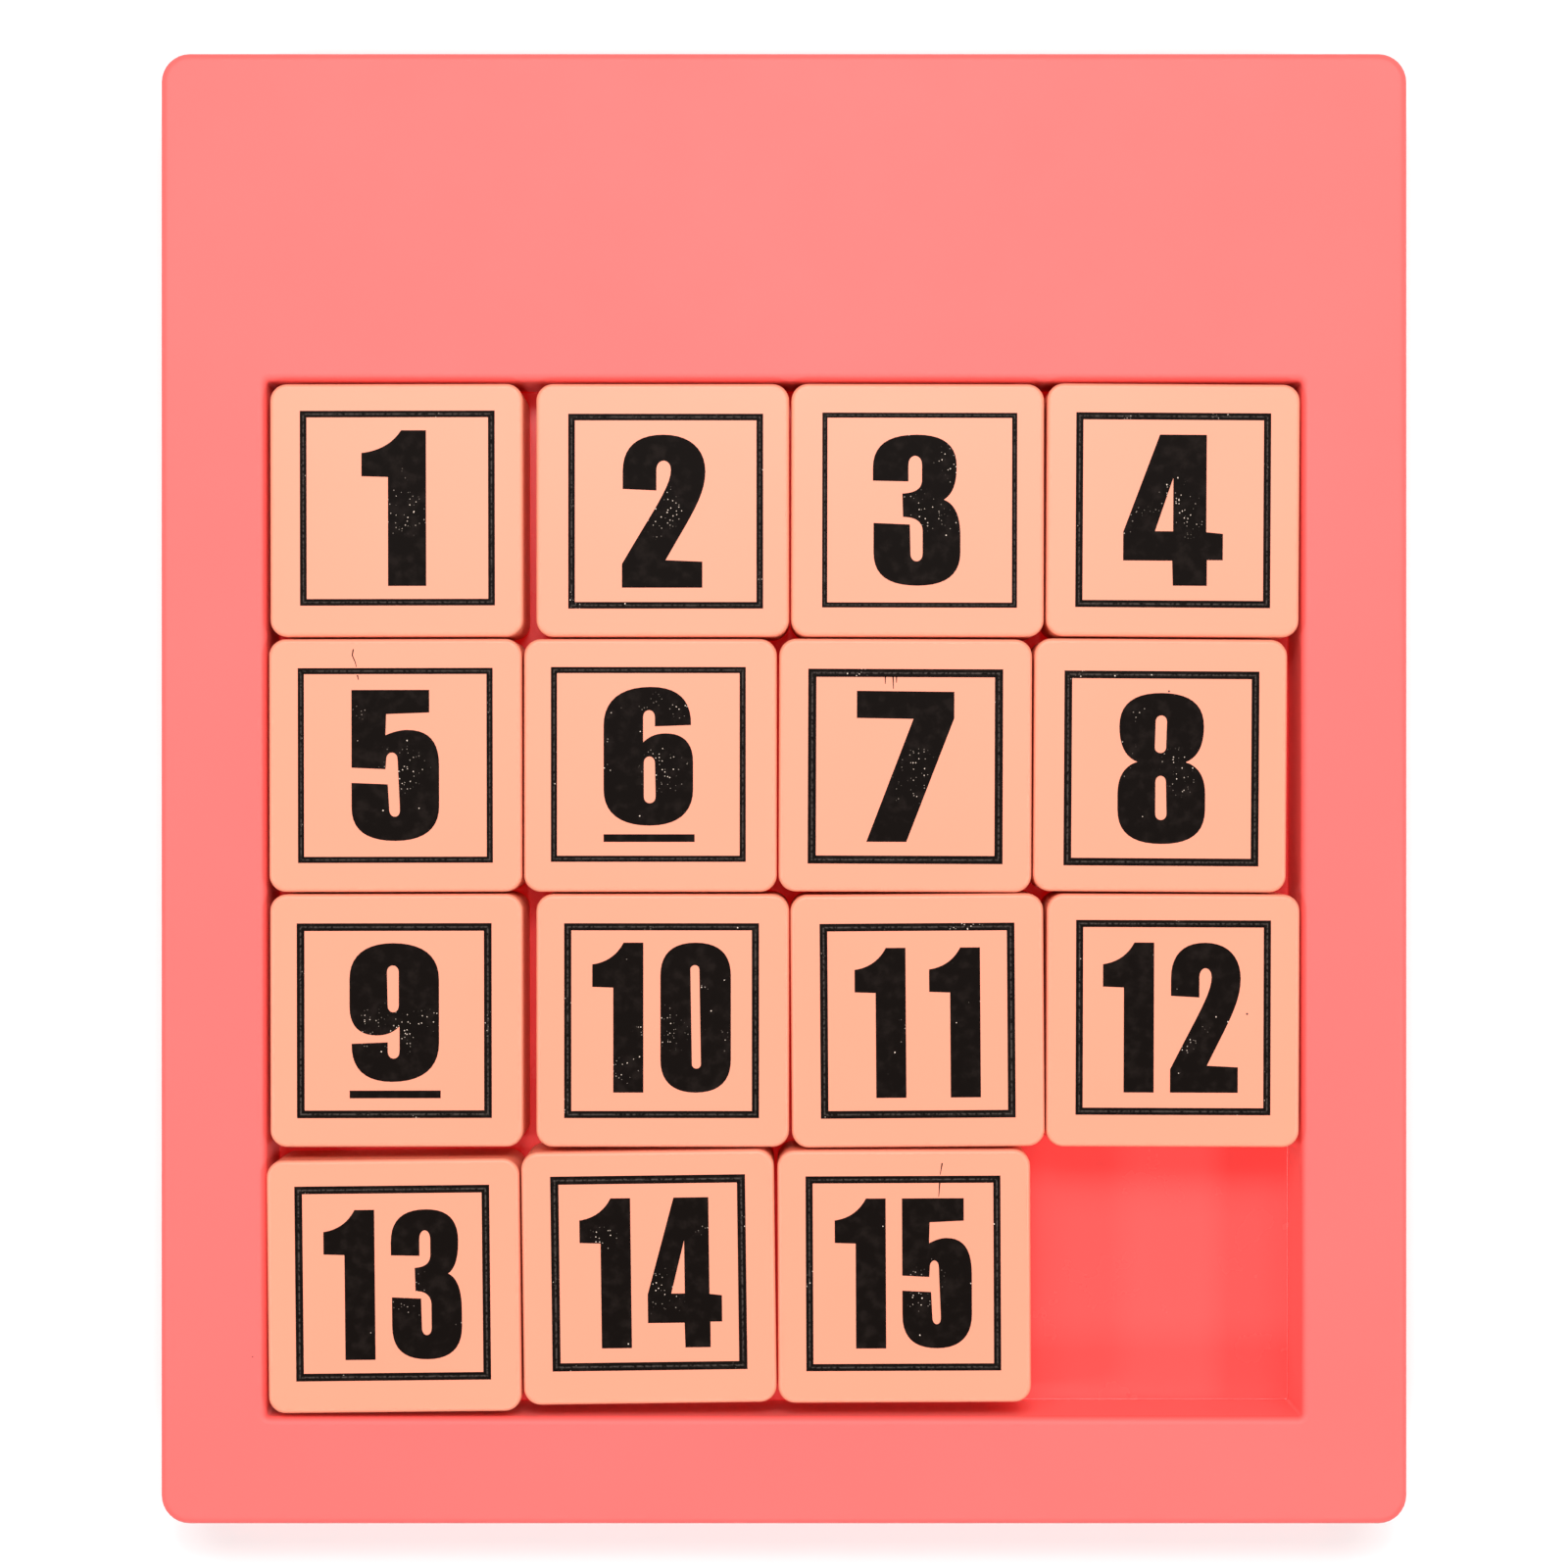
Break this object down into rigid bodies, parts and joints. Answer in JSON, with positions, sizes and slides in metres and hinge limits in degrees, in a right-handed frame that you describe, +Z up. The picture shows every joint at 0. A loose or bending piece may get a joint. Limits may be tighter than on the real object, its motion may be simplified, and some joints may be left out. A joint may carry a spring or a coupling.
{
  "type": "sliding tile puzzle",
  "caption": "Shallow square well in a flat tray with a broad blank panel at its head, holding numbered square tiles that slide one at a time into the empty place.",
  "frame": {"origin": "middle of the underside, on the surface that the tray lies on", "axes": "+Z up, out of the well; +Y towards the broad blank panel at the head; +X to the right of someone reading the numerals"},
  "size_m": [0.1226, 0.1448, 0.0141],
  "materials": {
    "tray_plastic": "satin moulded, coral pink",
    "tile_plastic": "satin moulded, peach",
    "sheet_steel": "zinc plated sheet",
    "screw_steel": "zinc plated",
    "magnet_nickel": "nickel plated",
    "printed_ink": "matt black screen print on the tiles' tops"
  },
  "bodies": {
    "tray": {"tray": "tray_plastic", "steel_sheet": "sheet_steel", "back_cover": "tray_plastic", "cover_screw_1": "screw_steel", "cover_screw_2": "screw_steel", "cover_screw_3": "screw_steel", "cover_screw_4": "screw_steel"},
    "tile_01": {"tile_01_cap": "tile_plastic", "tile_01_base": "tile_plastic", "tile_01_magnet": "magnet_nickel"},
    "tile_02": {"tile_02_cap": "tile_plastic", "tile_02_base": "tile_plastic", "tile_02_magnet": "magnet_nickel"},
    "tile_03": {"tile_03_cap": "tile_plastic", "tile_03_base": "tile_plastic", "tile_03_magnet": "magnet_nickel"},
    "tile_04": {"tile_04_cap": "tile_plastic", "tile_04_base": "tile_plastic", "tile_04_magnet": "magnet_nickel"},
    "tile_05": {"tile_05_cap": "tile_plastic", "tile_05_base": "tile_plastic", "tile_05_magnet": "magnet_nickel"},
    "tile_06": {"tile_06_cap": "tile_plastic", "tile_06_base": "tile_plastic", "tile_06_magnet": "magnet_nickel"},
    "tile_07": {"tile_07_cap": "tile_plastic", "tile_07_base": "tile_plastic", "tile_07_magnet": "magnet_nickel"},
    "tile_08": {"tile_08_cap": "tile_plastic", "tile_08_base": "tile_plastic", "tile_08_magnet": "magnet_nickel"},
    "tile_09": {"tile_09_cap": "tile_plastic", "tile_09_base": "tile_plastic", "tile_09_magnet": "magnet_nickel"},
    "tile_10": {"tile_10_cap": "tile_plastic", "tile_10_base": "tile_plastic", "tile_10_magnet": "magnet_nickel"},
    "tile_11": {"tile_11_cap": "tile_plastic", "tile_11_base": "tile_plastic", "tile_11_magnet": "magnet_nickel"},
    "tile_12": {"tile_12_cap": "tile_plastic", "tile_12_base": "tile_plastic", "tile_12_magnet": "magnet_nickel"},
    "tile_13": {"tile_13_cap": "tile_plastic", "tile_13_base": "tile_plastic", "tile_13_magnet": "magnet_nickel"},
    "tile_14": {"tile_14_cap": "tile_plastic", "tile_14_base": "tile_plastic", "tile_14_magnet": "magnet_nickel"},
    "tile_15": {"tile_15_cap": "tile_plastic", "tile_15_base": "tile_plastic", "tile_15_magnet": "magnet_nickel"}
  },
  "joints": [
    {"name": "lift_01", "type": "slide", "parent": "tray", "child": "tile_01", "axis": [0, 0, 1], "range_m": [0, 0.02]},
    {"name": "lift_02", "type": "slide", "parent": "tray", "child": "tile_02", "axis": [0, 0, 1], "range_m": [0, 0.02]},
    {"name": "lift_03", "type": "slide", "parent": "tray", "child": "tile_03", "axis": [0, 0, 1], "range_m": [0, 0.02]},
    {"name": "lift_04", "type": "slide", "parent": "tray", "child": "tile_04", "axis": [0, 0, 1], "range_m": [0, 0.02]},
    {"name": "lift_05", "type": "slide", "parent": "tray", "child": "tile_05", "axis": [0, 0, 1], "range_m": [0, 0.02]},
    {"name": "lift_06", "type": "slide", "parent": "tray", "child": "tile_06", "axis": [0, 0, 1], "range_m": [0, 0.02]},
    {"name": "lift_07", "type": "slide", "parent": "tray", "child": "tile_07", "axis": [0, 0, 1], "range_m": [0, 0.02]},
    {"name": "lift_08", "type": "slide", "parent": "tray", "child": "tile_08", "axis": [0, 0, 1], "range_m": [0, 0.02]},
    {"name": "lift_09", "type": "slide", "parent": "tray", "child": "tile_09", "axis": [0, 0, 1], "range_m": [0, 0.02]},
    {"name": "lift_10", "type": "slide", "parent": "tray", "child": "tile_10", "axis": [0, 0, 1], "range_m": [0, 0.02]},
    {"name": "lift_11", "type": "slide", "parent": "tray", "child": "tile_11", "axis": [0, 0, 1], "range_m": [0, 0.02]},
    {"name": "slide_12", "type": "slide", "parent": "tray", "child": "tile_12", "axis": [0, -1, 0], "range_m": [0, 0.0264]},
    {"name": "lift_13", "type": "slide", "parent": "tray", "child": "tile_13", "axis": [0, 0, 1], "range_m": [0, 0.02]},
    {"name": "lift_14", "type": "slide", "parent": "tray", "child": "tile_14", "axis": [0, 0, 1], "range_m": [0, 0.02]},
    {"name": "slide_15", "type": "slide", "parent": "tray", "child": "tile_15", "axis": [-1, 0, 0], "range_m": [-0.0263, 0]}
  ]
}
